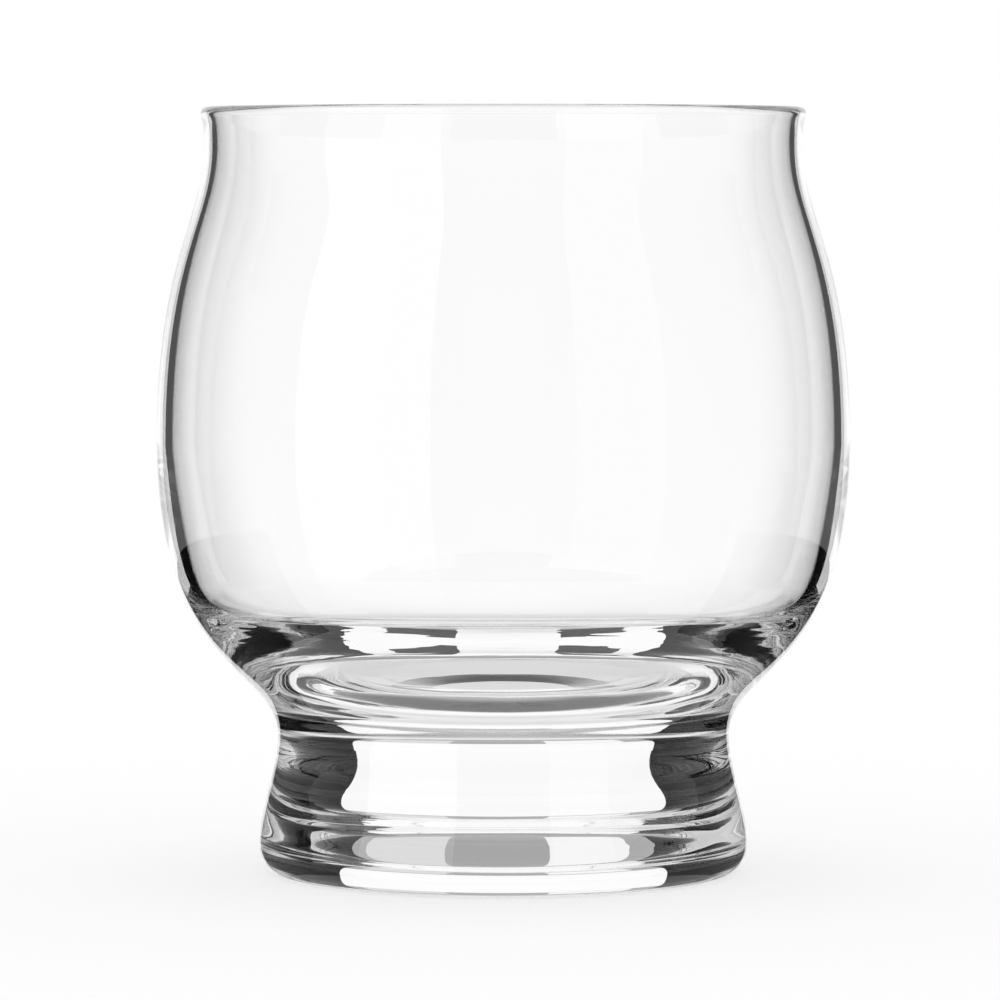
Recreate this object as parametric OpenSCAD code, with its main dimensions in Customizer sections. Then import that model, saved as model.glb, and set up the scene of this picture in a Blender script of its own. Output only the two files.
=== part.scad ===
// Footed whisky nosing glass: a blown bowl with a heavy base, flame-sealed to a solid pressed foot.
// Lengths are in millimetres, +Z is up, and the origin is the centre of the ring it stands on.
// Both pieces are turned forms, so each one is an outline of (radius, height) points spun about Z.

/* [Overall] */
// Height from the table to the top of the lip
glass_h = 91.3; // [85:0.1:98]

/* [Bowl outside] */
// Outside diameter at the lip
rim_d = 72; // [68:0.1:76]
// Outside diameter at the neck, the narrow place just under the lip
neck_d = 71.1; // [67:0.1:75]
// Drop from the lip to the neck
neck_drop = 4.5; // [3:0.1:8]
// Outside diameter at the belly, the widest place of the bowl
belly_d = 82.6; // [76:0.1:90]
// Height of the belly's widest place above the table
belly_z = 51.5; // [45:0.1:58]
// Diameter at the waist, where the bowl is sealed to the foot
waist_d = 53.9; // [48:0.1:58]
// Height of the seal above the table
waist_z = 16.4; // [12:0.1:20]

/* [Bowl inside] */
// Wall thickness at the lip
rim_wall = 1.5; // [1:0.05:2.2]
// Wall thickness at the neck
neck_wall = 1.5; // [1:0.05:2.2]
// Wall thickness at the belly
belly_wall = 1.8; // [1.2:0.05:2.6]
// Wall thickness, measured level, where the wall turns into the corner of the floor
corner_wall = 2.7; // [2.2:0.1:4]
// Slope of the inside wall at that place, in degrees from level
corner_slope = 42; // [36:1:50]
// Radius of the wide round corner between the wall and the floor
corner_r = 27.5; // [20:0.5:34]
// Slope of the dished floor where it leaves the corner, in degrees from level
floor_slope = 12.5; // [8:0.5:18]

/* [Foot] */
// Diameter of the foot at its widest
foot_d = 58.5; // [54:0.1:64]
// Height of the foot's widest place above the table
foot_z = 3.7; // [3:0.1:7]
// How far the standing ring is set in from the foot's widest place
heel_in = 2.3; // [1:0.1:4]
// Width of the standing ring
ring_w = 1.7; // [1:0.1:3]
// Height of the shallow hollow under the foot, at its middle
hollow_h = 0.6; // [0.3:0.1:2]

/* [Hidden] */

// Facets of a full turn, and outline steps along a long curve and round a small edge
$fn = 128;
curve_steps = 18;
edge_steps = 8;

// Where a curve's handle ends: its share of the height of the curve, counted from the named end
waist_up_share = 0.234;
belly_down_share = 0.78;
belly_up_share = 0.625;
neck_down_share = 0.243;
neck_up_share = 0.469;
waist_down_share = 0.3;
foot_up_share = 0.25;
wall_up_share = 0.16;
wall_down_share = 0.35;
// The lip's handle: its share of the flare's width and of the flare's height
lip_in_share = 0.737;
lip_down_share = 0.35;
// Where the floor's corner begins: its share along the outside curve from belly to waist
corner_share = 0.33;

// Radii and heights of the outside
rim_r = rim_d / 2;
neck_r = neck_d / 2;
belly_r = belly_d / 2;
waist_r = waist_d / 2;
foot_r = foot_d / 2;
ring_r = foot_r - heel_in;
hollow_r = ring_r - ring_w;
neck_z = glass_h - neck_drop;
// The lip is fire-polished to a full round
lip_r = rim_wall / 2;
lip_z = glass_h - lip_r;

// Point at share t of a cubic curve from a to d, with handles b and c
function cubic(a, b, c, d, t) =
    pow(1 - t, 3) * a + 3 * pow(1 - t, 2) * t * b + 3 * (1 - t) * pow(t, 2) * c + pow(t, 3) * d;

// Points of that curve after its start
function curve(a, b, c, d) = [for (i = [1:curve_steps]) cubic(a, b, c, d, i / curve_steps)];

// Point a, moved up or down by a share of the height between a and d
function raised(a, d, share) = [a.x, a.y + share * (d.y - a.y)];

// Curve from a to d that leaves and arrives upright
function upright(a, d, a_share, d_share) = curve(a, raised(a, d, a_share), raised(d, a, d_share), d);

// Handles of the flare between neck and lip: the neck's is upright and the lip's leans in
function neck_handle(neck, lip) = raised(neck, lip, neck_up_share);
function lip_handle(neck, lip) =
    lip - [lip_in_share * (lip.x - neck.x), lip_down_share * (lip.y - neck.y)];

// Points of a round arc after its start, between two angles counted from level
function arc(centre, r, start, end, steps) =
    [for (i = [1:steps]) let (a = start + (end - start) * i / steps) centre + r * [cos(a), sin(a)]];

// Direction of a slope that rises outwards, and the square direction to its inner side
function along(slope) = [cos(slope), sin(slope)];
function inward(slope) = [-sin(slope), cos(slope)];

// Stations of the outside
waist_p = [waist_r, waist_z];
belly_p = [belly_r, belly_z];
neck_p = [neck_r, neck_z];
rim_p = [rim_r, lip_z];
foot_p = [foot_r, foot_z];

// Stations of the inside: each wall thickness is taken off the outside
rim_in_p = rim_p - [rim_wall, 0];
neck_in_p = neck_p - [neck_wall, 0];
belly_in_p = belly_p - [belly_wall, 0];
corner_out_p = cubic(
    belly_p, raised(belly_p, waist_p, belly_down_share),
    raised(waist_p, belly_p, waist_up_share), waist_p, corner_share
);
corner_p = corner_out_p - [corner_wall, 0];

// The corner's arc runs from the wall's slope to the floor's, and the floor's arc on to the axis
corner_c = corner_p + corner_r * inward(corner_slope);
floor_edge_p = corner_c - corner_r * inward(floor_slope);
floor_r = floor_edge_p.x / sin(floor_slope);
floor_c = [0, floor_edge_p.y + floor_r * cos(floor_slope)];
wall_h = belly_in_p.y - corner_p.y;
wall_handle = corner_p + wall_up_share * wall_h * along(corner_slope);

// Radius of the hollow under the foot, a cap of a large sphere
hollow_round_r = (pow(hollow_r, 2) + pow(hollow_h, 2)) / (2 * hollow_h);
hollow_c = [0, hollow_h - hollow_round_r];

// Outside of the bowl from the seal up, over the lip, and down the inside to the middle of the floor
bowl_outline = concat(
    [[0, waist_z], waist_p],
    upright(waist_p, belly_p, waist_up_share, belly_down_share),
    upright(belly_p, neck_p, belly_up_share, neck_down_share),
    curve(neck_p, neck_handle(neck_p, rim_p), lip_handle(neck_p, rim_p), rim_p),
    arc(rim_p - [lip_r, 0], lip_r, 0, 180, edge_steps),
    curve(
        rim_in_p, lip_handle(neck_in_p, rim_in_p),
        neck_handle(neck_in_p, rim_in_p), neck_in_p
    ),
    upright(neck_in_p, belly_in_p, neck_down_share, belly_up_share),
    curve(belly_in_p, raised(belly_in_p, corner_p, wall_down_share), wall_handle, corner_p),
    arc(corner_c, corner_r, corner_slope - 90, floor_slope - 90, edge_steps),
    arc(floor_c, floor_r, floor_slope - 90, -90, edge_steps)
);

// Hollow underside from the axis out, the standing ring, the round heel and the side up to the seal
foot_outline = concat(
    [[0, waist_z], [0, hollow_h]],
    arc(hollow_c, hollow_round_r, 90, acos(hollow_r / hollow_round_r), edge_steps),
    [for (i = [0:edge_steps]) let (a = 90 * i / edge_steps)
        [ring_r + heel_in * sin(a), foot_z * (1 - cos(a))]],
    upright(foot_p, waist_p, foot_up_share, waist_down_share)
);

// Blown bowl with its heavy base
module bowl() {
    color("azure", 0.35)
        rotate_extrude()
            polygon(bowl_outline);
}

// Solid pressed foot
module foot() {
    color("lightcyan", 0.35)
        rotate_extrude()
            polygon(foot_outline);
}

bowl();
foot();
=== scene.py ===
"""Looks of the whisky nosing glass: a blown bowl, flame-sealed to a pressed foot, in a white studio.

Both pieces are turned smooth from the same stations as the solids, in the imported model's frame.
Their sizes are written in millimetres, and become metres where a mesh or a place is made.
The studio that stands round them is written in metres and degrees.
"""

import logging
import math
from collections.abc import Sequence
from dataclasses import dataclass, field
from enum import Enum
from typing import Any

import bpy
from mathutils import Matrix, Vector


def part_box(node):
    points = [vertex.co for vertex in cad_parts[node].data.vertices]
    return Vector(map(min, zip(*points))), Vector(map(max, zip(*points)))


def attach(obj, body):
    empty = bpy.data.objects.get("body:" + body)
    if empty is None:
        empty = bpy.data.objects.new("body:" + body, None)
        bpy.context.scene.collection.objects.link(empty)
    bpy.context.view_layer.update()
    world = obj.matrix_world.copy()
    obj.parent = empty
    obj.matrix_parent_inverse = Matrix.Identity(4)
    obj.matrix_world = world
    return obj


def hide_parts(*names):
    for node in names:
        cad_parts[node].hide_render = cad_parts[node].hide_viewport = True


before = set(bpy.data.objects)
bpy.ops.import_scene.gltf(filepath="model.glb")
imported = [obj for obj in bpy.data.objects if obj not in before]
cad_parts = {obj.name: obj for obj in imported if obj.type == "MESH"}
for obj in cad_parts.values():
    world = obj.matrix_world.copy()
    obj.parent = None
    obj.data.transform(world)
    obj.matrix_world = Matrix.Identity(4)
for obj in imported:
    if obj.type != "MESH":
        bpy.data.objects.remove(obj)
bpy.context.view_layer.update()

Point = tuple[float, float]
Place = tuple[float, float, float]
Levels = Sequence[tuple[float, float]]

MM = 0.001
BODY = "root"
# Facets of a full turn, and outline steps along a long curve, a small curve and a small edge
TURN_STEPS = 256
LONG_STEPS = 40
SHORT_STEPS = 16
EDGE_STEPS = 14
# Parts of a turn, in degrees
HALF_TURN = 180.0
QUARTER_TURN = 90.0
# Points nearer than this, in metres, are one point
MERGE_M = 1e-6
# Edges sharper than this stay sharp under smooth shading
SHARP_ANGLE = math.radians(40)
# How often light that enters the lip may turn inside the wall on its way down to the base
WALL_BOUNCES = 160
# Skins of glass that light crosses on its way through the bowl, and turns that it makes in the wall
BOWL_SKINS = 4.0
WALL_TURNS = 1.0
# Material slots of a piece: its glass, and the clear joint on its seal face
GLASS_SLOT = 0
SEAL_SLOT = 1
# Sockets of a Mix node for plain numbers: the share of the second number, and the two numbers
MIX_SHARE = 0
MIX_FIRST = 2
MIX_SECOND = 3
# The sRGB curve: a byte's full level, the straight stretch near black, and the power above it
FULL_BYTE = 255
DARK_SLOPE = 12.92
DARK_END = 0.04045
CURVE_OFFSET = 0.055
CURVE_POWER = 2.4
# Kinds of rays, as Blender's visibility switches name them
RAY_KINDS = ("camera", "diffuse", "glossy", "transmission", "shadow", "volume_scatter")

log = logging.getLogger("nosing_glass")


def linear(colour: str) -> tuple[float, float, float, float]:
    """Turns an sRGB hex colour to linear.

    Args:
        colour: Six hex digits, red first.

    Returns:
        Linear red, green and blue, and an alpha of 1.
    """
    shares = [level / FULL_BYTE for level in bytes.fromhex(colour)]
    levels = [
        s / DARK_SLOPE if s <= DARK_END else ((s + CURVE_OFFSET) / (1 + CURVE_OFFSET)) ** CURVE_POWER
        for s in shares
    ]
    return (*levels, 1.0)


def add_node(
    tree: bpy.types.NodeTree,
    kind: str,
    settings: dict[str, Any] | None = None,
    inputs: dict[str | int, Any] | None = None,
) -> bpy.types.Node:
    """Adds a node with its settings, its values and its links.

    Args:
        tree: Tree that gets the node.
        kind: Blender's name of the node type.
        settings: Properties of the node.
        inputs: A value or an output socket for each input that differs from its default.

    Returns:
        The new node.
    """
    node = tree.nodes.new(kind)
    for name, value in (settings or {}).items():
        setattr(node, name, value)
    for name, value in (inputs or {}).items():
        if isinstance(value, bpy.types.NodeSocket):
            tree.links.new(value, node.inputs[name])
        else:
            node.inputs[name].default_value = value
    return node


def new_material(name: str) -> bpy.types.Material:
    """Makes a material with an empty tree.

    Args:
        name: Name of the material.

    Returns:
        The new material.
    """
    material = bpy.data.materials.new(name)
    material.use_nodes = True
    material.node_tree.nodes.clear()
    return material


def start_point(name: str, place: Place) -> bpy.types.Object:
    """Starts a mesh from one point, and leaves that point selected in edit mode.

    Args:
        name: Name of the object and of its mesh.
        place: Where the point is, in metres.

    Returns:
        The new object, which sits at the origin.
    """
    bpy.ops.object.select_all(action="DESELECT")
    bpy.ops.mesh.primitive_plane_add(size=MM, location=(0, 0, 0))
    thing = bpy.context.object
    thing.name = name
    thing.data.name = name
    bpy.context.tool_settings.mesh_select_mode = (True, False, False)
    bpy.ops.object.mode_set(mode="EDIT")
    bpy.ops.mesh.select_all(action="SELECT")
    bpy.ops.mesh.merge(type="CENTER")
    bpy.ops.transform.translate(value=place)
    return thing


def cubic(a: Point, b: Point, c: Point, d: Point, t: float) -> Point:
    """Gives the point at share t of a cubic curve.

    Args:
        a: Start of the curve.
        b: Handle of the start.
        c: Handle of the end.
        d: End of the curve.
        t: Share of the way, from 0 to 1.

    Returns:
        Radius and height of the point.
    """
    weights = ((1 - t) ** 3, 3 * (1 - t) ** 2 * t, 3 * (1 - t) * t**2, t**3)
    return tuple(sum(w * p[i] for w, p in zip(weights, (a, b, c, d))) for i in (0, 1))


def curve(a: Point, b: Point, c: Point, d: Point, steps: int) -> list[Point]:
    """Gives the points of a cubic curve after its start.

    Args:
        a: Start of the curve.
        b: Handle of the start.
        c: Handle of the end.
        d: End of the curve.
        steps: Number of points.

    Returns:
        The points, the end among them.
    """
    return [cubic(a, b, c, d, i / steps) for i in range(1, steps + 1)]


def raised(a: Point, d: Point, share: float) -> Point:
    """Moves point a up or down by a share of the height between a and d.

    Args:
        a: Point that moves.
        d: Point that gives the height.
        share: Share of that height.

    Returns:
        The moved point.
    """
    return (a[0], a[1] + share * (d[1] - a[1]))


def upright(a: Point, d: Point, a_share: float, d_share: float) -> list[Point]:
    """Gives a long curve that leaves a and reaches d upright.

    Args:
        a: Start of the curve.
        d: End of the curve.
        a_share: Length of the start's handle, as a share of the height.
        d_share: Length of the end's handle, as a share of the height.

    Returns:
        The points after the start.
    """
    return curve(a, raised(a, d, a_share), raised(d, a, d_share), d, LONG_STEPS)


def arc(centre: Point, radius: float, start: float, end: float, steps: int) -> list[Point]:
    """Gives the points of a round arc after its start.

    Args:
        centre: Middle of the arc.
        radius: Radius of the arc.
        start: Angle of the start from level, in degrees.
        end: Angle of the end from level, in degrees.
        steps: Number of points.

    Returns:
        The points, the end among them.
    """
    angles = [math.radians(start + (end - start) * i / steps) for i in range(1, steps + 1)]
    return [(centre[0] + radius * math.cos(a), centre[1] + radius * math.sin(a)) for a in angles]


class Rays(Enum):
    """Kinds of rays that can see a thing in the studio."""

    REFLECTED = "visible_glossy"
    REFRACTED = "visible_transmission"


class Within(Enum):
    """Light that a thing in the studio shows in: all of it, or what a depth of its path tells apart.

    Light crosses four skins of glass on its way through the bowl and two in the solid base and foot,
    and what turned more than once went about inside the solid glass.
    """

    ANY = None
    SOLID = ("Transmission Depth", "LESS_THAN", BOWL_SKINS)
    TURNED = ("Glossy Depth", "GREATER_THAN", WALL_TURNS)

    def test(self, tree: bpy.types.NodeTree) -> bpy.types.NodeSocket:
        """Tests in a shader whether light is of this kind.

        Args:
            tree: Tree of the shader.

        Returns:
            A socket that gives 1 for such light and 0 for other light.
        """
        depth, operation, limit = self.value
        path = add_node(tree, "ShaderNodeLightPath")
        found = add_node(tree, "ShaderNodeMath", {"operation": operation}, {0: path.outputs[depth], 1: limit})
        return found.outputs[0]


def show_only(thing: bpy.types.Object, seen: Rays) -> None:
    """Hides a thing in the studio from all rays but one kind.

    Args:
        thing: A card, a lamp or the painted shade under the foot.
        seen: Kind of rays that see it.
    """
    for kind in RAY_KINDS:
        setattr(thing, f"visible_{kind}", False)
    setattr(thing, seen.value, True)


@dataclass(frozen=True)
class GlassFinish:
    """Clear soda-lime glass with the faint ripple that its forming leaves.

    Attributes:
        name: Name of the material.
        tint: Colour of the glass, as hex.
        ior: Index of refraction.
        roughness: Roughness of the fire-polished skin.
        ripple_round: Width of a ripple round the glass, in mm.
        ripple_up: Height of a ripple, in mm.
        ripple_depth: Depth of the ripple, in mm.
        ripple_swirl: How far the ripples wind, in shares of their size.
        ripple_low: Height above the table where the ripple fades out downwards, in mm.
        ripple_high: Height above the table where it fades out upwards, in mm.
        ripple_fade: Height over which it fades, in mm.
        ripple_detail: How much finer ripple lies on it.
    """

    name: str
    tint: str
    ior: float
    roughness: float
    ripple_round: float
    ripple_up: float
    ripple_depth: float
    ripple_swirl: float
    ripple_low: float
    ripple_high: float
    ripple_fade: float
    ripple_detail: float = 0.5

    def ripple(self, tree: bpy.types.NodeTree) -> bpy.types.NodeSocket:
        """Makes the bump of the ripples, which fade out above and below their zone.

        Args:
            tree: Tree of the material.

        Returns:
            The bumped normal.
        """
        place = add_node(tree, "ShaderNodeTexCoord").outputs["Object"]
        round_scale = 1 / (self.ripple_round * MM)
        up_scale = 1 / (self.ripple_up * MM)
        stretched = add_node(
            tree, "ShaderNodeMapping",
            inputs={"Vector": place, "Scale": (round_scale, round_scale, up_scale)},
        )
        # The mapping gives the ripples their size, so the noise has a scale of 1
        waves = add_node(
            tree, "ShaderNodeTexNoise",
            inputs={
                "Vector": stretched.outputs[0],
                "Scale": 1.0,
                "Detail": self.ripple_detail,
                "Distortion": self.ripple_swirl,
            },
        )
        height = add_node(tree, "ShaderNodeSeparateXYZ", inputs={0: place}).outputs["Z"]
        low, high, fade = self.ripple_low * MM, self.ripple_high * MM, self.ripple_fade * MM
        rise, fall = (
            add_node(
                tree, "ShaderNodeMapRange", {"interpolation_type": "SMOOTHSTEP"},
                {"Value": height, "From Min": start, "From Max": end},
            )
            for start, end in ((low, low + fade), (high, high - fade))
        )
        zone = add_node(
            tree, "ShaderNodeMath", {"operation": "MULTIPLY"}, {0: rise.outputs[0], 1: fall.outputs[0]}
        )
        bump = add_node(
            tree, "ShaderNodeBump",
            inputs={
                "Strength": zone.outputs[0],
                "Distance": self.ripple_depth * MM,
                "Height": waves.outputs["Fac"],
            },
        )
        return bump.outputs[0]

    def material(self) -> bpy.types.Material:
        """Makes the material: clear glass whose skin has shallow ripples.

        Returns:
            The new material.
        """
        material = new_material(self.name)
        tree = material.node_tree
        glass = add_node(
            tree, "ShaderNodeBsdfPrincipled",
            inputs={
                "Base Color": linear(self.tint),
                "IOR": self.ior,
                "Roughness": self.roughness,
                "Transmission Weight": 1.0,
                "Normal": self.ripple(tree),
            },
        )
        add_node(tree, "ShaderNodeOutputMaterial", inputs={"Surface": glass.outputs[0]})
        return material


@dataclass(frozen=True)
class SealFinish:
    """The melted seal between bowl and foot, where the two glasses run together and nothing shows.

    Attributes:
        name: Name of the material.
        tint: Colour of what passes through, as hex.
    """

    name: str = "Flame_sealed_glass_joint"
    tint: str = "FFFFFF"

    def material(self) -> bpy.types.Material:
        """Makes the material, which lets light straight through.

        Returns:
            The new material.
        """
        material = new_material(self.name)
        tree = material.node_tree
        through = add_node(tree, "ShaderNodeBsdfTransparent", inputs={"Color": linear(self.tint)})
        add_node(tree, "ShaderNodeOutputMaterial", inputs={"Surface": through.outputs[0]})
        return material


# Blown soda-lime glass, fire-polished: clear and mirror-smooth, with chill ripples where the thick
# shoulder met the cold mould, so that what shows through there is mottled.
BLOWN_GLASS = GlassFinish(
    name="Blown_soda_lime_glass", tint="FFFFFF", ior=1.52, roughness=0.0,
    ripple_round=12.0, ripple_up=1.6, ripple_depth=0.016, ripple_swirl=1.0,
    ripple_low=16.0, ripple_high=36.0, ripple_fade=8.0,
)

# Pressed soda-lime glass, fire-polished: as clear, with faint level ripples left by the mould,
# which streak the dark sides of the foot.
PRESSED_GLASS = GlassFinish(
    name="Pressed_soda_lime_glass", tint="FFFFFF", ior=1.52, roughness=0.0,
    ripple_round=24.0, ripple_up=1.6, ripple_depth=0.008, ripple_swirl=0.6,
    ripple_low=1.0, ripple_high=18.0, ripple_fade=4.0,
)

# Flame-sealed glass: bowl and foot run together there, so the joint is clear and leaves no line.
SEAL = SealFinish()


@dataclass
class Stations:
    """Outside stations that both pieces share, in mm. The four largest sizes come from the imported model.

    Attributes:
        height: Height of the lip above the table.
        belly_d: Outside diameter of the belly.
        foot_d: Diameter of the foot.
        seal_z: Height of the seal between bowl and foot.
        waist_d: Diameter at the seal.
    """

    height: float = field(init=False)
    belly_d: float = field(init=False)
    foot_d: float = field(init=False)
    seal_z: float = field(init=False)
    waist_d: float = 53.9

    def __post_init__(self) -> None:
        """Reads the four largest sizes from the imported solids."""
        bowl_low, bowl_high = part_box("bowl")
        foot_low, foot_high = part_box("foot")
        self.height = bowl_high.z / MM
        self.belly_d = (bowl_high.x - bowl_low.x) / MM
        self.foot_d = (foot_high.x - foot_low.x) / MM
        self.seal_z = foot_high.z / MM

    @property
    def waist(self) -> Point:
        """Point of the outline where bowl and foot meet."""
        return (self.waist_d / 2, self.seal_z)


@dataclass
class TurnedPiece:
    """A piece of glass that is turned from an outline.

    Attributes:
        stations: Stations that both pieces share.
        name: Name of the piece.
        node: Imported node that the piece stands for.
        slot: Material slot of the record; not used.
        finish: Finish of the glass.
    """

    stations: Stations
    name: str = ""
    node: str = ""
    slot: str = ""
    finish: GlassFinish = BLOWN_GLASS

    def outline(self) -> list[Point]:
        """Gives the outline from axis to axis, as radius and height in mm."""
        raise NotImplementedError

    def build(self) -> bpy.types.Object:
        """Draws the outline by extruding a point, and spins it about the axis.

        Returns:
            The turned piece, closed and smooth.
        """
        points = self.outline()
        first = points[0]
        piece = start_point(self.name, (first[0] * MM, 0, first[1] * MM))
        for last, point in zip(points, points[1:]):
            step = ((point[0] - last[0]) * MM, 0, (point[1] - last[1]) * MM)
            bpy.ops.mesh.extrude_region_move(TRANSFORM_OT_translate={"value": step})
        bpy.ops.mesh.select_all(action="SELECT")
        bpy.ops.mesh.spin(steps=TURN_STEPS, angle=math.tau, center=(0, 0, 0), axis=(0, 0, 1))
        bpy.ops.mesh.select_all(action="SELECT")
        bpy.ops.mesh.remove_doubles(threshold=MERGE_M)
        bpy.ops.mesh.normals_make_consistent(inside=False)
        bpy.ops.object.mode_set(mode="OBJECT")
        bpy.ops.object.shade_smooth_by_angle(angle=SHARP_ANGLE)
        return piece

    def dress(self, piece: bpy.types.Object) -> None:
        """Gives the piece its glass, and its seal face the clear joint.

        Args:
            piece: The turned piece.
        """
        piece.data.materials.clear()
        piece.data.materials.append(self.finish.material())
        piece.data.materials.append(bpy.data.materials.get(SEAL.name) or SEAL.material())
        seal_z = self.stations.seal_z * MM
        bpy.context.tool_settings.mesh_select_mode = (False, False, True)
        bpy.ops.object.mode_set(mode="EDIT")
        bpy.ops.mesh.select_all(action="DESELECT")
        bpy.ops.object.mode_set(mode="OBJECT")
        for face in piece.data.polygons:
            face.select = all(abs(piece.data.vertices[v].co.z - seal_z) < MERGE_M for v in face.vertices)
        bpy.ops.object.mode_set(mode="EDIT")
        piece.active_material_index = SEAL_SLOT
        bpy.ops.object.material_slot_assign()
        bpy.ops.object.mode_set(mode="OBJECT")
        piece.active_material_index = GLASS_SLOT

    def make(self) -> bpy.types.Object:
        """Builds and dresses the piece and fits it to the frame.

        Returns:
            The finished piece.
        """
        piece = self.build()
        self.dress(piece)
        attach(piece, BODY)
        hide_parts(self.node)
        return piece


@dataclass
class Bowl(TurnedPiece):
    """The blown bowl: lip, neck, belly, wall and the heavy base over the seal. Lengths are in mm.

    Attributes:
        rim_d: Outside diameter at the lip.
        neck_d: Outside diameter at the neck.
        neck_drop: Drop from the lip to the neck.
        belly_z: Height of the belly's widest place.
        rim_wall: Wall thickness at the lip.
        neck_wall: Wall thickness at the neck.
        belly_wall: Wall thickness at the belly.
        corner_wall: Wall thickness, measured level, where the wall turns into the floor's corner.
        corner_slope: Slope of the inside wall at that place, in degrees from level.
        corner_r: Radius of the round corner between the wall and the floor.
        floor_slope: Slope of the dished floor where it leaves the corner, in degrees from level.
    """

    name: str = "blown_bowl"
    node: str = "bowl"
    slot: str = "bowl_glass"
    finish: GlassFinish = BLOWN_GLASS
    rim_d: float = 72.0
    neck_d: float = 71.1
    neck_drop: float = 4.5
    belly_z: float = 51.5
    rim_wall: float = 1.5
    neck_wall: float = 1.5
    belly_wall: float = 1.8
    corner_wall: float = 2.7
    corner_slope: float = 42.0
    corner_r: float = 27.5
    floor_slope: float = 12.5
    # Where a curve's handle ends: its share of the height of the curve, counted from the named end
    waist_up_share: float = 0.234
    belly_down_share: float = 0.78
    belly_up_share: float = 0.625
    neck_down_share: float = 0.243
    neck_up_share: float = 0.469
    wall_up_share: float = 0.16
    wall_down_share: float = 0.35
    # The lip's handle: its share of the flare's width and of the flare's height
    lip_in_share: float = 0.737
    lip_down_share: float = 0.35
    # Where the floor's corner begins: its share along the outside curve from belly to waist
    corner_share: float = 0.33

    def lip_handle(self, neck: Point, lip: Point) -> Point:
        """Gives the handle of the flare at the lip, which leans in.

        Args:
            neck: Point at the neck.
            lip: Point at the lip.

        Returns:
            The handle's end.
        """
        return (
            lip[0] - self.lip_in_share * (lip[0] - neck[0]),
            lip[1] - self.lip_down_share * (lip[1] - neck[1]),
        )

    def outside(self, belly: Point, neck: Point, rim: Point) -> list[Point]:
        """Gives the outside from the middle of the seal up to the lip.

        Args:
            belly: Point at the belly.
            neck: Point at the neck.
            rim: Point at the lip.

        Returns:
            The points of the outside.
        """
        waist = self.stations.waist
        flare = (raised(neck, rim, self.neck_up_share), self.lip_handle(neck, rim))
        return [
            (0.0, waist[1]),
            waist,
            *upright(waist, belly, self.waist_up_share, self.belly_down_share),
            *upright(belly, neck, self.belly_up_share, self.neck_down_share),
            *curve(neck, *flare, rim, SHORT_STEPS),
        ]

    def inside(self, belly: Point, neck: Point, rim: Point) -> list[Point]:
        """Gives the inside from the lip down to the middle of the floor.

        Args:
            belly: Outside point at the belly.
            neck: Outside point at the neck.
            rim: Outside point at the lip.

        Returns:
            The points of the inside.
        """
        waist = self.stations.waist
        rim_in = (rim[0] - self.rim_wall, rim[1])
        neck_in = (neck[0] - self.neck_wall, neck[1])
        belly_in = (belly[0] - self.belly_wall, belly[1])
        skin = cubic(
            belly, raised(belly, waist, self.belly_down_share),
            raised(waist, belly, self.waist_up_share), waist, self.corner_share,
        )
        corner = (skin[0] - self.corner_wall, skin[1])
        slope, floor_slope = math.radians(self.corner_slope), math.radians(self.floor_slope)
        centre = (
            corner[0] - self.corner_r * math.sin(slope),
            corner[1] + self.corner_r * math.cos(slope),
        )
        edge = (
            centre[0] + self.corner_r * math.sin(floor_slope),
            centre[1] - self.corner_r * math.cos(floor_slope),
        )
        floor_r = edge[0] / math.sin(floor_slope)
        floor_centre = (0.0, edge[1] + floor_r * math.cos(floor_slope))
        reach = self.wall_up_share * (belly_in[1] - corner[1])
        wall_handle = (corner[0] + reach * math.cos(slope), corner[1] + reach * math.sin(slope))
        flare = (self.lip_handle(neck_in, rim_in), raised(neck_in, rim_in, self.neck_up_share))
        # The arcs lie square to the slopes, and the floor's runs on to straight below its centre
        wall_end, floor_end = self.corner_slope - QUARTER_TURN, self.floor_slope - QUARTER_TURN
        return [
            *curve(rim_in, *flare, neck_in, SHORT_STEPS),
            *upright(neck_in, belly_in, self.neck_down_share, self.belly_up_share),
            *curve(belly_in, raised(belly_in, corner, self.wall_down_share), wall_handle, corner, LONG_STEPS),
            *arc(centre, self.corner_r, wall_end, floor_end, LONG_STEPS),
            *arc(floor_centre, floor_r, floor_end, -QUARTER_TURN, SHORT_STEPS)[:-1],
            (0.0, floor_centre[1] - floor_r),
        ]

    def outline(self) -> list[Point]:
        """Draws the bowl's outline from the middle of the seal, over the lip, to the middle of the floor.

        Returns:
            Radius and height of its points, in mm.
        """
        lip_r = self.rim_wall / 2
        belly = (self.stations.belly_d / 2, self.belly_z)
        neck = (self.neck_d / 2, self.stations.height - self.neck_drop)
        rim = (self.rim_d / 2, self.stations.height - lip_r)
        lip = arc((rim[0] - lip_r, rim[1]), lip_r, 0, HALF_TURN, EDGE_STEPS)
        return [*self.outside(belly, neck, rim), *lip, *self.inside(belly, neck, rim)]


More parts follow.
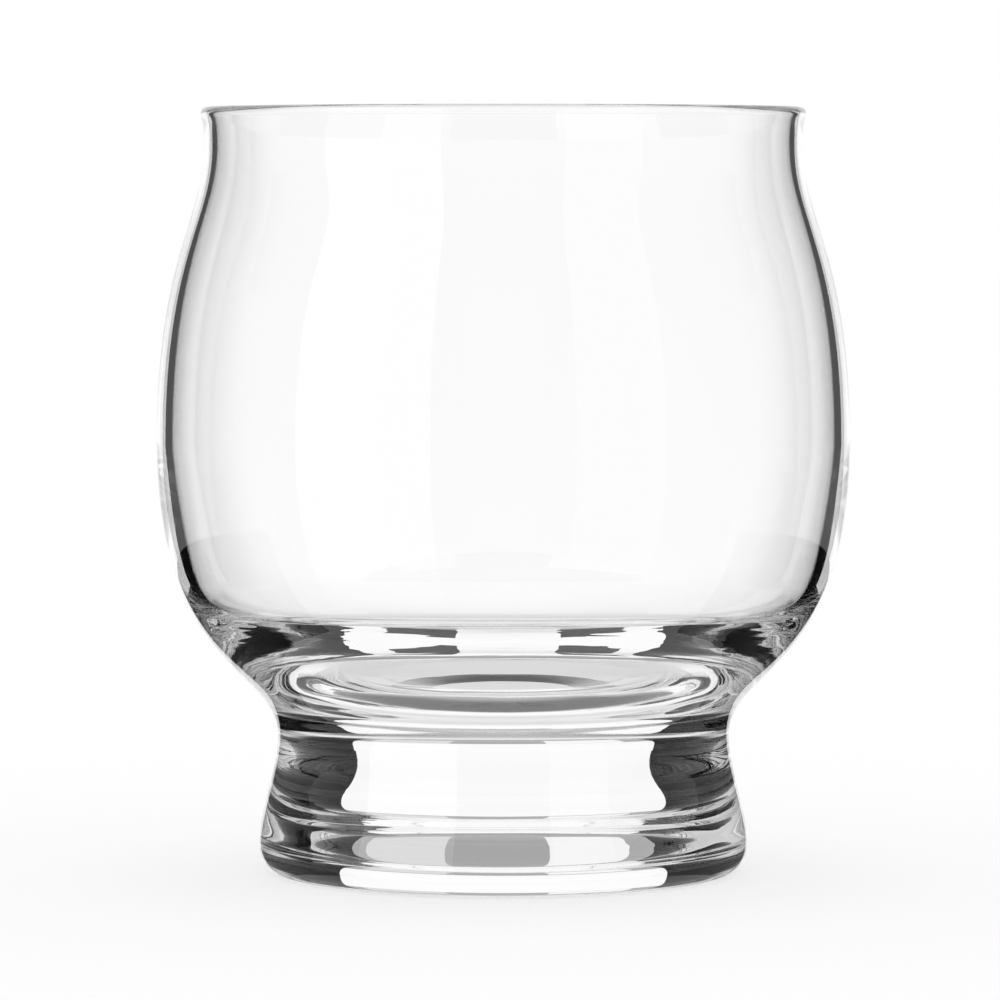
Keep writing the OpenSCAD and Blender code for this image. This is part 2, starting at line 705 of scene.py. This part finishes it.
@dataclass
class Foot(TurnedPiece):
    """The solid pressed foot: standing ring, round heel and side up to the seal. Lengths are in mm.

    Attributes:
        foot_z: Height of the foot's widest place.
        heel_in: How far the standing ring is set in from the foot's widest place.
        ring_w: Width of the standing ring.
        hollow_h: Height of the shallow hollow underneath, at its middle.
    """

    name: str = "pressed_foot"
    node: str = "foot"
    slot: str = "foot_glass"
    finish: GlassFinish = PRESSED_GLASS
    foot_z: float = 3.7
    heel_in: float = 2.3
    ring_w: float = 1.7
    hollow_h: float = 0.6
    # Where a curve's handle ends: its share of the height of the curve, counted from the named end
    waist_down_share: float = 0.3
    foot_up_share: float = 0.25

    def outline(self) -> list[Point]:
        """Draws the foot's outline from the middle of the hollow, over the heel, to the middle of the seal.

        Returns:
            Radius and height of its points, in mm.
        """
        widest = (self.stations.foot_d / 2, self.foot_z)
        waist = self.stations.waist
        ring_r = widest[0] - self.heel_in
        hollow_r = ring_r - self.ring_w
        round_r = (hollow_r**2 + self.hollow_h**2) / (2 * self.hollow_h)
        hollow_centre = (0.0, self.hollow_h - round_r)
        hollow_end = math.degrees(math.acos(hollow_r / round_r))
        turns = [math.pi / 2 * i / EDGE_STEPS for i in range(EDGE_STEPS + 1)]
        heel = [
            (ring_r + self.heel_in * math.sin(a), self.foot_z * (1 - math.cos(a))) for a in turns
        ]
        return [
            (0.0, self.hollow_h),
            *arc(hollow_centre, round_r, QUARTER_TURN, hollow_end, SHORT_STEPS),
            *heel,
            *upright(widest, waist, self.foot_up_share, self.waist_down_share),
            (0.0, waist[1]),
        ]


@dataclass(frozen=True)
class Stand:
    """Where a card stands, in metres.

    Attributes:
        away: Distance from the axis of the glass.
        low: Height of the card's lower edge.
        high: Height of its upper edge.
    """

    away: float
    low: float
    high: float


@dataclass(frozen=True)
class Fade:
    """How a card fades towards its outer edge.

    Attributes:
        start: Azimuth from which it fades, in degrees to either side.
        glow: How bright it is at the outer edge, where 1 is white.
    """

    start: float
    glow: float


@dataclass(frozen=True)
class Card:
    """A card or lamp that stands round the glass, curved about its axis.

    Attributes:
        name: Name of the card.
        edges: Azimuths of its two edges, in degrees from +Y, which is straight behind the glass.
        stand: Where it stands.
        glow: How bright it is, where 1 is white.
        seen: Kind of rays that see it.
        fade: How it fades, if it does.
        within: Light that it shows in.
    """

    name: str
    edges: tuple[float, float]
    stand: Stand
    glow: float
    seen: Rays = Rays.REFRACTED
    fade: Fade | None = None
    within: Within = Within.ANY

    def build(self) -> bpy.types.Object:
        """Raises an upright edge from a point, and spins it about the glass.

        Returns:
            The curved card.
        """
        start, end = (math.radians(edge) for edge in self.edges)
        away, low, high = self.stand.away, self.stand.low, self.stand.high
        card = start_point(self.name, (away * math.sin(start), away * math.cos(start), low))
        bpy.ops.mesh.extrude_region_move(TRANSFORM_OT_translate={"value": (0, 0, high - low)})
        bpy.ops.mesh.select_all(action="SELECT")
        bpy.ops.mesh.spin(steps=SHORT_STEPS, angle=end - start, center=(0, 0, 0), axis=(0, 0, 1))
        bpy.ops.object.mode_set(mode="OBJECT")
        return card

    def level(self, tree: bpy.types.NodeTree) -> float | bpy.types.NodeSocket:
        """Gives how bright the card is, which changes sideways where it fades.

        Args:
            tree: Tree of the card's material.

        Returns:
            One level, or the socket that gives it.
        """
        if self.fade is None:
            return self.glow
        place = add_node(tree, "ShaderNodeTexCoord").outputs["Object"]
        axes = add_node(tree, "ShaderNodeSeparateXYZ", inputs={0: place})
        aside = add_node(tree, "ShaderNodeMath", {"operation": "ABSOLUTE"}, {0: axes.outputs["X"]})
        outer = max(abs(edge) for edge in self.edges)
        faded = add_node(
            tree, "ShaderNodeMapRange", {"interpolation_type": "SMOOTHSTEP"},
            {
                "Value": aside.outputs[0],
                "From Min": self.stand.away * math.sin(math.radians(self.fade.start)),
                "From Max": self.stand.away * math.sin(math.radians(outer)),
                "To Min": self.glow,
                "To Max": self.fade.glow,
            },
        )
        return faded.outputs[0]

    def dress(self, card: bpy.types.Object) -> None:
        """Makes the card glow, in the light that it shows in.

        Args:
            card: The curved card.
        """
        material = new_material(f"Glow_of_{self.name}")
        tree = material.node_tree
        surface = add_node(tree, "ShaderNodeEmission", inputs={"Strength": self.level(tree)}).outputs[0]
        if self.within is not Within.ANY:
            shown = self.within.test(tree)
            clear = add_node(tree, "ShaderNodeBsdfTransparent").outputs[0]
            mixed = add_node(tree, "ShaderNodeMixShader", inputs={0: shown, 1: clear, 2: surface})
            surface = mixed.outputs[0]
        add_node(tree, "ShaderNodeOutputMaterial", inputs={"Surface": surface})
        card.data.materials.append(material)

    def make(self) -> None:
        """Builds and dresses the card, and hides it from all rays but its own kind."""
        card = self.build()
        self.dress(card)
        show_only(card, self.seen)


# How bright black card is in the studio, where 1 is white
BLACK = 0.004
# Azimuths, in degrees to either side, where the white backdrop ends and where the foot's sides begin
BACKDROP_EDGE = 28.5
FOOT_EDGE = 34.0
# Where the cards stand: beside the white backdrop, below it and above it, close round the glass at
# three heights, and in front
BESIDE = Stand(away=0.56, low=-0.4, high=0.33)
BELOW = Stand(away=0.56, low=-0.33, high=-0.205)
ABOVE = Stand(away=0.8, low=0.19, high=0.42)
ROUND_FOOT = Stand(away=0.1, low=-0.04, high=0.018)
ROUND_WAIST = Stand(away=0.1, low=-0.05, high=0.024)
ROUND_BOWL = Stand(away=0.1, low=-0.05, high=0.125)
IN_FRONT = Stand(away=0.7, low=-0.63, high=0.9)
# The flags fade to white and the edge cards to pale grey, so that the bowl has thin dark edges
FLAG_FADE = Fade(start=45.0, glow=1.0)
EDGE_FADE = Fade(start=32.0, glow=0.8)

# The flags and edge cards draw the dark edges of the bowl, by refraction and by reflection.
# The foot, low and shade cards draw the dark sides of the foot and the wedges at the bowl's corners.
# The base cards draw the dark patches in the base, and the lamps give the patches and streaks of light.
CARDS = (
    Card("black_flag_left", (-80.0, -BACKDROP_EDGE), BESIDE, BLACK, fade=FLAG_FADE),
    Card("black_flag_right", (BACKDROP_EDGE, 80.0), BESIDE, BLACK, fade=FLAG_FADE),
    Card("black_edge_left", (-70.0, -BACKDROP_EDGE), BESIDE, 0.25, Rays.REFLECTED, EDGE_FADE),
    Card("black_edge_right", (BACKDROP_EDGE, 70.0), BESIDE, 0.25, Rays.REFLECTED, EDGE_FADE),
    Card("foot_card_left", (-72.0, -32.0), ROUND_FOOT, BLACK, within=Within.SOLID),
    Card("foot_card_right", (32.0, 72.0), ROUND_FOOT, BLACK, within=Within.SOLID),
    Card("low_card_left", (-100.0, -FOOT_EDGE), ROUND_BOWL, BLACK, within=Within.TURNED),
    Card("low_card_right", (FOOT_EDGE, 120.0), ROUND_BOWL, BLACK, within=Within.TURNED),
    Card("base_card_left", (-22.0, -9.5), BELOW, 0.06, within=Within.TURNED),
    Card("base_card_right", (8.0, 21.5), BELOW, 0.06, within=Within.TURNED),
    Card("low_shade_left", (-110.0, -FOOT_EDGE), ROUND_WAIST, BLACK, Rays.REFLECTED),
    Card("low_shade_right", (FOOT_EDGE, 110.0), ROUND_WAIST, BLACK, Rays.REFLECTED),
    Card("upper_lamp_left", (-22.0, -7.0), ABOVE, 0.95),
    Card("upper_lamp_right", (9.0, 25.0), ABOVE, 0.7),
    Card("soft_lamp_left", (-157.0, -110.0), IN_FRONT, 1.1, Rays.REFLECTED),
    Card("soft_lamp_right", (127.0, 157.0), IN_FRONT, 0.75, Rays.REFLECTED),
)


@dataclass(frozen=True)
class ShadowRingGroup:
    """Painted shadow: low dark rings round the axis under the foot, for the dark rings of the foot's shadow
    on the table, in mm.

    Attributes:
        first: Radius of the smallest ring.
        step: Distance from ring to ring.
        count: Number of rings.
        height: Height of the rings.
    """

    first: float
    step: float
    count: int
    height: float


@dataclass(frozen=True)
class PaintedShadeUnderFoot:
    """Painted shade under the foot: the table in the hollow glows evenly below white for the foot's shadow,
    and low dark rings, which only glancing light meets, paint that shadow's dark rings.

    Attributes:
        radius: Radius of the glowing disc, in mm.
        height: Height of the disc above the table, in mm.
        shaded_table_glow: How bright the disc glows, where 1 is white; below 1 it is painted shade.
        shadow_ring_glow: How bright the dark rings glow: painted shadow.
        shadow_rings: Groups of dark rings, which paint the foot's shadow on the table and so draw the dark
            rings low in the base.
    """

    radius: float = 25.0
    height: float = 0.02
    # Painted shade: the table under the foot glows at 0.7 of white and the dark rings at 0.06, for the foot's
    # shadow
    shaded_table_glow: float = 0.7
    shadow_ring_glow: float = 0.06
    shadow_rings: tuple[ShadowRingGroup, ...] = (
        ShadowRingGroup(first=8.8, step=0.3, count=17, height=0.28),
        ShadowRingGroup(first=21.2, step=0.5, count=5, height=0.08),
    )

    def draw_circle(self, name: str, radius: float, fill: str) -> bpy.types.Object:
        """Draws a circle on the table, with its place in its mesh.

        Args:
            name: Name of the disc or rim.
            radius: Radius of the circle, in mm.
            fill: Blender's name of what fills it.

        Returns:
            The circle.
        """
        bpy.ops.object.select_all(action="DESELECT")
        bpy.ops.mesh.primitive_circle_add(
            vertices=TURN_STEPS, radius=radius * MM, fill_type=fill, location=(0, 0, self.height * MM)
        )
        bpy.ops.object.transform_apply()
        circle = bpy.context.object
        circle.name = name
        return circle

    def light(self, thing: bpy.types.Object, glow: float) -> None:
        """Makes the disc or a dark ring glow with its painted shade, and hides it from all but refracted
        rays.

        Args:
            thing: The disc or a dark ring.
            glow: How bright it is, where 1 is white.
        """
        material = new_material(f"Glow_of_{thing.name}")
        tree = material.node_tree
        surface = add_node(tree, "ShaderNodeEmission", inputs={"Strength": glow})
        add_node(tree, "ShaderNodeOutputMaterial", inputs={"Surface": surface.outputs[0]})
        thing.data.materials.append(material)
        show_only(thing, Rays.REFRACTED)

    def make(self) -> None:
        """Lays the dimly glowing disc and raises the dark rings on it: painted shade and shadow under the
        foot.
        """
        disc = self.draw_circle("painted_shade_under_foot", self.radius, "NGON")
        self.light(disc, self.shaded_table_glow)
        for number, group in enumerate(self.shadow_rings):
            rise = (0, 0, group.height * MM)
            for i in range(group.count):
                # Each dark ring is painted shadow on the table under the foot
                rim = self.draw_circle(f"painted_shadow_ring_{number}_{i}", group.first + i * group.step, "NOTHING")
                bpy.ops.object.mode_set(mode="EDIT")
                bpy.ops.mesh.select_all(action="SELECT")
                bpy.ops.mesh.extrude_region_move(TRANSFORM_OT_translate={"value": rise})
                bpy.ops.object.mode_set(mode="OBJECT")
                self.light(rim, self.shadow_ring_glow)


@dataclass
class Studio:
    """White ground and pale room, with the cards and lamps that stand round the glass.

    Attributes:
        floor_half: Half the width of the floor, in metres.
        floor_tone: Colour of the floor, as hex.
        floor_glow: Light that the white ground gives by itself.
        room_tone: Colour of the room to the eye, as hex.
        behind: Grey level of the room behind, seen through the glass, at each angle above level, in degrees.
        before: Grey level of the room in front, seen through the glass, at each place along Y, front first.
        straight: Grey level there for light that crosses the glass without turning.
        overhead: Least grey level there at each angle above level, in degrees.
        parting: Share of the room behind at each place along Y, front first.
        table: Grey level of the white table, seen in reflections, at each angle above level, in degrees.
        sides: Grey level of the room's sides, seen in reflections, at each place along Y, front first.
        fading: Share of that level which is left at each angle above level, in degrees.
        cards: Cards and lamps.
    """

    floor_half: float = 4.0
    floor_tone: str = "A0A0A0"
    floor_glow: float = 0.65
    room_tone: str = "FFFFFF"
    behind: Levels = (
        (-90.0, 0.92), (-52.0, 0.92), (-45.0, 0.75), (-35.0, 0.75), (-26.0, 0.95), (-18.0, 1.0), (11.5, 1.0),
        (13.0, 0.38), (30.0, 0.42), (36.0, 0.3), (39.0, 0.14), (47.0, 0.16), (52.0, 0.4), (90.0, 0.65),
    )
    before: Levels = ((-1.0, 0.5), (-0.5, 0.7), (0.0, 1.0), (1.0, 1.0))
    straight: float = 0.97
    overhead: Levels = ((-90.0, 0.0), (0.0, 0.0), (20.0, 0.5), (40.0, 1.0), (90.0, 1.0))
    parting: Levels = ((-1.0, 0.0), (0.0, 0.0), (0.35, 1.0), (1.0, 1.0))
    table: Levels = ((-90.0, 1.0), (-50.0, 1.0), (-20.0, 0.5), (0.0, 0.25), (25.0, 0.1), (90.0, 0.1))
    sides: Levels = ((-1.0, 0.1), (0.0, 0.2), (0.34, 0.4), (0.8, 0.4), (0.88, 1.0), (1.0, 1.0))
    fading: Levels = ((-90.0, 1.0), (8.0, 1.0), (40.0, 0.5), (90.0, 0.3))
    cards: tuple[Card, ...] = CARDS

    def lay_floor(self) -> None:
        """Lays the pale floor, whose own white glow leaves only a faint shadow."""
        bpy.ops.object.select_all(action="DESELECT")
        bpy.ops.mesh.primitive_plane_add(size=2 * self.floor_half, location=(0, 0, 0))
        floor = bpy.context.object
        floor.name = "floor"
        # Matt white sweep paper: even and without gloss, so that only the shadow shows on it
        material = new_material("White_sweep_paper")
        tree = material.node_tree
        paper = add_node(tree, "ShaderNodeBsdfDiffuse", inputs={"Color": linear(self.floor_tone)})
        white = add_node(tree, "ShaderNodeEmission", inputs={"Strength": self.floor_glow})
        both = add_node(tree, "ShaderNodeAddShader", inputs={0: paper.outputs[0], 1: white.outputs[0]})
        add_node(tree, "ShaderNodeOutputMaterial", inputs={"Surface": both.outputs[0]})
        floor.data.materials.append(material)
        floor.visible_transmission = False
        floor.visible_glossy = False

    def shade(
        self, tree: bpy.types.NodeTree, along: bpy.types.NodeSocket, stops: Levels
    ) -> bpy.types.NodeSocket:
        """Shades the room along one axis.

        Args:
            tree: Tree of the world.
            along: Place of the direction along the axis, from -1 to 1.
            stops: Grey level at each such place, in order.

        Returns:
            The shade.
        """
        place = add_node(
            tree, "ShaderNodeMapRange", inputs={"Value": along, "From Min": -1.0, "From Max": 1.0}
        )
        ramp = add_node(tree, "ShaderNodeValToRGB", inputs={0: place.outputs[0]})
        elements = ramp.color_ramp.elements
        while len(elements) < len(stops):
            elements.new(1.0)
        for element, (at, level) in zip(elements, stops):
            element.position = (1 + at) / 2
            element.color = (level, level, level, 1.0)
        return ramp.outputs[0]

    def shade_up(
        self, tree: bpy.types.NodeTree, axes: bpy.types.Node, levels: Levels
    ) -> bpy.types.NodeSocket:
        """Shades the room by the angle above level.

        Args:
            tree: Tree of the world.
            axes: Node that parts the direction into its axes.
            levels: Grey level at each angle, in degrees.

        Returns:
            The shade.
        """
        stops = [(math.sin(math.radians(up)), level) for up, level in levels]
        return self.shade(tree, axes.outputs["Z"], stops)

    def refracted(self, tree: bpy.types.NodeTree, axes: bpy.types.Node) -> bpy.types.NodeSocket:
        """Shades the room as it shows through the glass: white to grey behind, and pale in front.

        Args:
            tree: Tree of the world.
            axes: Node that parts the direction into its axes.

        Returns:
            The shade.
        """
        behind = self.shade_up(tree, axes, self.behind)
        overhead = self.shade_up(tree, axes, self.overhead)
        before = self.shade(tree, axes.outputs["Y"], self.before)
        parting = self.shade(tree, axes.outputs["Y"], self.parting)
        turned = Within.TURNED.test(tree)
        dimmed = add_node(tree, "ShaderNodeMath", {"operation": "MAXIMUM"}, {0: before, 1: overhead})
        front = add_node(
            tree, "ShaderNodeMix", {"data_type": "FLOAT"},
            {MIX_SHARE: turned, MIX_FIRST: self.straight, MIX_SECOND: dimmed.outputs[0]},
        )
        through = add_node(
            tree, "ShaderNodeMix", {"data_type": "FLOAT"},
            {MIX_SHARE: parting, MIX_FIRST: front.outputs[0], MIX_SECOND: behind},
        )
        return through.outputs[0]

    def reflected(self, tree: bpy.types.NodeTree, axes: bpy.types.Node) -> bpy.types.NodeSocket:
        """Shades the room as the glass mirrors it: dim sides over a white table.

        Args:
            tree: Tree of the world.
            axes: Node that parts the direction into its axes.

        Returns:
            The shade.
        """
        table = self.shade_up(tree, axes, self.table)
        fading = self.shade_up(tree, axes, self.fading)
        sides = self.shade(tree, axes.outputs["Y"], self.sides)
        faded = add_node(tree, "ShaderNodeMath", {"operation": "MULTIPLY"}, {0: sides, 1: fading})
        mirrored = add_node(
            tree, "ShaderNodeMath", {"operation": "MAXIMUM"}, {0: faded.outputs[0], 1: table}
        )
        return mirrored.outputs[0]

    def paint_room(self) -> None:
        """Paints the world: white to the eye, dim in reflections, and white to grey through the glass."""
        world = bpy.data.worlds.new("White_room")
        world.use_nodes = True
        bpy.context.scene.world = world
        tree = world.node_tree
        tree.nodes.clear()
        way = add_node(tree, "ShaderNodeTexCoord").outputs["Generated"]
        axes = add_node(tree, "ShaderNodeSeparateXYZ", inputs={0: way})
        path = add_node(tree, "ShaderNodeLightPath")
        white, dim, seen = (
            add_node(tree, "ShaderNodeBackground", inputs={"Color": colour}).outputs[0]
            for colour in (linear(self.room_tone), self.reflected(tree, axes), self.refracted(tree, axes))
        )
        mirrored = add_node(
            tree, "ShaderNodeMixShader", inputs={0: path.outputs["Is Glossy Ray"], 1: white, 2: dim}
        )
        room = add_node(
            tree, "ShaderNodeMixShader",
            inputs={0: path.outputs["Is Transmission Ray"], 1: mirrored.outputs[0], 2: seen},
        )
        add_node(tree, "ShaderNodeOutputWorld", inputs={"Surface": room.outputs[0]})

    def make(self) -> None:
        """Sets up the floor, the cards and lamps, the painted shade under the foot, and the room."""
        self.lay_floor()
        for card in self.cards:
            card.make()
        PaintedShadeUnderFoot().make()
        self.paint_room()


@dataclass(frozen=True)
class Eye:
    """The camera, at the place and with the view of the photograph.

    Attributes:
        place: Where it stands, in metres.
        tilt: How far it looks down, in degrees.
        lens: Focal length, in mm.
        sensor: Width of the sensor, in mm.
        near: Nearest distance that it sees, in metres.
    """

    place: Place = (-0.0004, -0.720, 0.084)
    tilt: float = 3.144
    lens: float = 217.4
    sensor: float = 36.0
    near: float = 0.01

    def make(self) -> None:
        """Adds the camera and makes it the scene's own."""
        turn = (math.radians(QUARTER_TURN - self.tilt), 0, 0)
        bpy.ops.object.camera_add(location=self.place, rotation=turn)
        camera = bpy.context.object
        camera.name = "eye"
        camera.data.sensor_width = self.sensor
        camera.data.lens = self.lens
        camera.data.clip_start = self.near
        bpy.context.scene.camera = camera


def set_paths() -> None:
    """Lets light cross the glass as often as it needs, and shows colours as they are written."""
    scene = bpy.context.scene
    scene.view_settings.view_transform = "Standard"
    scene.cycles.max_bounces = WALL_BOUNCES
    scene.cycles.transmission_bounces = WALL_BOUNCES
    scene.cycles.glossy_bounces = WALL_BOUNCES
    scene.cycles.transparent_max_bounces = WALL_BOUNCES


def main() -> None:
    """Builds the camera, the studio and the two pieces."""
    logging.basicConfig(level=logging.INFO, format="%(name)s: %(message)s")
    set_paths()
    Eye().make()
    Studio().make()
    stations = Stations()
    for piece in (Bowl(stations), Foot(stations)):
        made = piece.make()
        log.info("%s: %d faces, stands for %s", made.name, len(made.data.polygons), piece.node)


if __name__ == "__main__":
    main()
